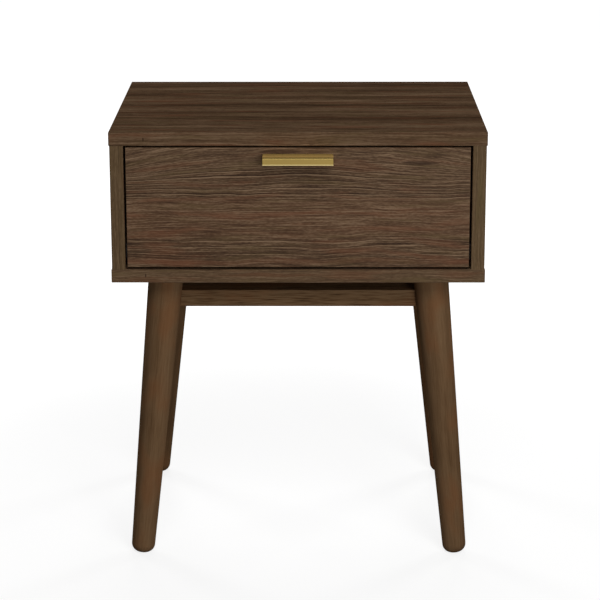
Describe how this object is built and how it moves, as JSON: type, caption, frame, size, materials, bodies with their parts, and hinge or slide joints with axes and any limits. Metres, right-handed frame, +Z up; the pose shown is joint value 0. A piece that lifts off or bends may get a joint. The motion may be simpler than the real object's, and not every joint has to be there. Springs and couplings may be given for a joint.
{
  "type": "side table with drawer",
  "caption": "Small walnut-finish side table: board cabinet with one inset drawer and a folded brass pull, on four splayed round tapered legs with a flat stretcher frame.",
  "frame": {"origin": "on the floor, under the centre of the whole table's box, the pull included", "axes": "+Z up, the drawer opens towards -Y, +X to the right of someone who faces the drawer"},
  "size_m": [0.5, 0.425, 0.6],
  "materials": {
    "walnut_board": "walnut-look laminate with straight to wavy grain, satin",
    "stained_walnut": "solid wood, walnut stain under a semi-gloss lacquer",
    "hardboard": "thin hardboard with a printed walnut face, matt",
    "drawer_board": "melamine-faced board with a plain brown wood print, matt",
    "beech": "fluted beech dowel",
    "brass": "brushed satin brass",
    "zinc_alloy": "die-cast zinc",
    "fastener_steel": "zinc-plated steel",
    "runner_steel": "dark brown powder-coated folded steel",
    "nylon": "dark moulded nylon"
  },
  "bodies": {
    "carcass": {"top_panel": "walnut_board", "left_side_panel": "walnut_board", "right_side_panel": "walnut_board", "bottom_panel": "walnut_board", "back_panel": "hardboard", "carcass_dowels": "beech", "cam_locks": "zinc_alloy", "cam_bolts": "fastener_steel", "base_screws": "fastener_steel", "front_left_leg": "stained_walnut", "front_right_leg": "stained_walnut", "rear_left_leg": "stained_walnut", "rear_right_leg": "stained_walnut", "front_rail": "stained_walnut", "rear_rail": "stained_walnut", "left_rail": "stained_walnut", "right_rail": "stained_walnut", "frame_dowels": "beech", "leg_dowels": "beech", "leg_inserts": "fastener_steel", "leg_washers": "fastener_steel", "leg_bolts": "fastener_steel", "left_cabinet_runner": "runner_steel", "right_cabinet_runner": "runner_steel", "cabinet_runner_screws": "fastener_steel", "front_roller_rivets": "fastener_steel"},
    "drawer": {"drawer_front": "walnut_board", "drawer_left_side": "drawer_board", "drawer_right_side": "drawer_board", "drawer_back": "drawer_board", "drawer_bottom": "hardboard", "drawer_dowels": "beech", "drawer_cam_locks": "zinc_alloy", "drawer_cam_bolts": "fastener_steel", "drawer_back_screws": "fastener_steel", "left_drawer_runner": "runner_steel", "right_drawer_runner": "runner_steel", "drawer_runner_screws": "fastener_steel", "rear_roller_rivets": "fastener_steel", "handle": "brass", "handle_screws": "fastener_steel"},
    "front_left_roller": {"front_left_roller": "nylon"},
    "front_right_roller": {"front_right_roller": "nylon"},
    "rear_left_roller": {"rear_left_roller": "nylon"},
    "rear_right_roller": {"rear_right_roller": "nylon"}
  },
  "joints": [
    {"name": "drawer_slide", "type": "slide", "parent": "carcass", "child": "drawer", "axis": [0, -1, 0], "range_m": [0, 0.25]},
    {"name": "front_left_roller_spin", "type": "hinge", "parent": "carcass", "child": "front_left_roller", "pos_m": [-0.2257, -0.1545, 0.4333], "axis": [1, 0, 0], "continuous": true},
    {"name": "front_right_roller_spin", "type": "hinge", "parent": "carcass", "child": "front_right_roller", "pos_m": [0.2257, -0.1545, 0.4333], "axis": [1, 0, 0], "continuous": true},
    {"name": "rear_left_roller_spin", "type": "hinge", "parent": "drawer", "child": "rear_left_roller", "pos_m": [-0.2238, 0.17065, 0.43435], "axis": [1, 0, 0], "continuous": true},
    {"name": "rear_right_roller_spin", "type": "hinge", "parent": "drawer", "child": "rear_right_roller", "pos_m": [0.2238, 0.17065, 0.43435], "axis": [1, 0, 0], "continuous": true}
  ],
  "couplings": [
    {"joint": "front_left_roller_spin", "follows": "drawer_slide", "rad_per_m": 125},
    {"joint": "front_right_roller_spin", "follows": "drawer_slide", "rad_per_m": 125},
    {"joint": "rear_left_roller_spin", "follows": "drawer_slide", "rad_per_m": 106.95},
    {"joint": "rear_right_roller_spin", "follows": "drawer_slide", "rad_per_m": 106.95}
  ]
}
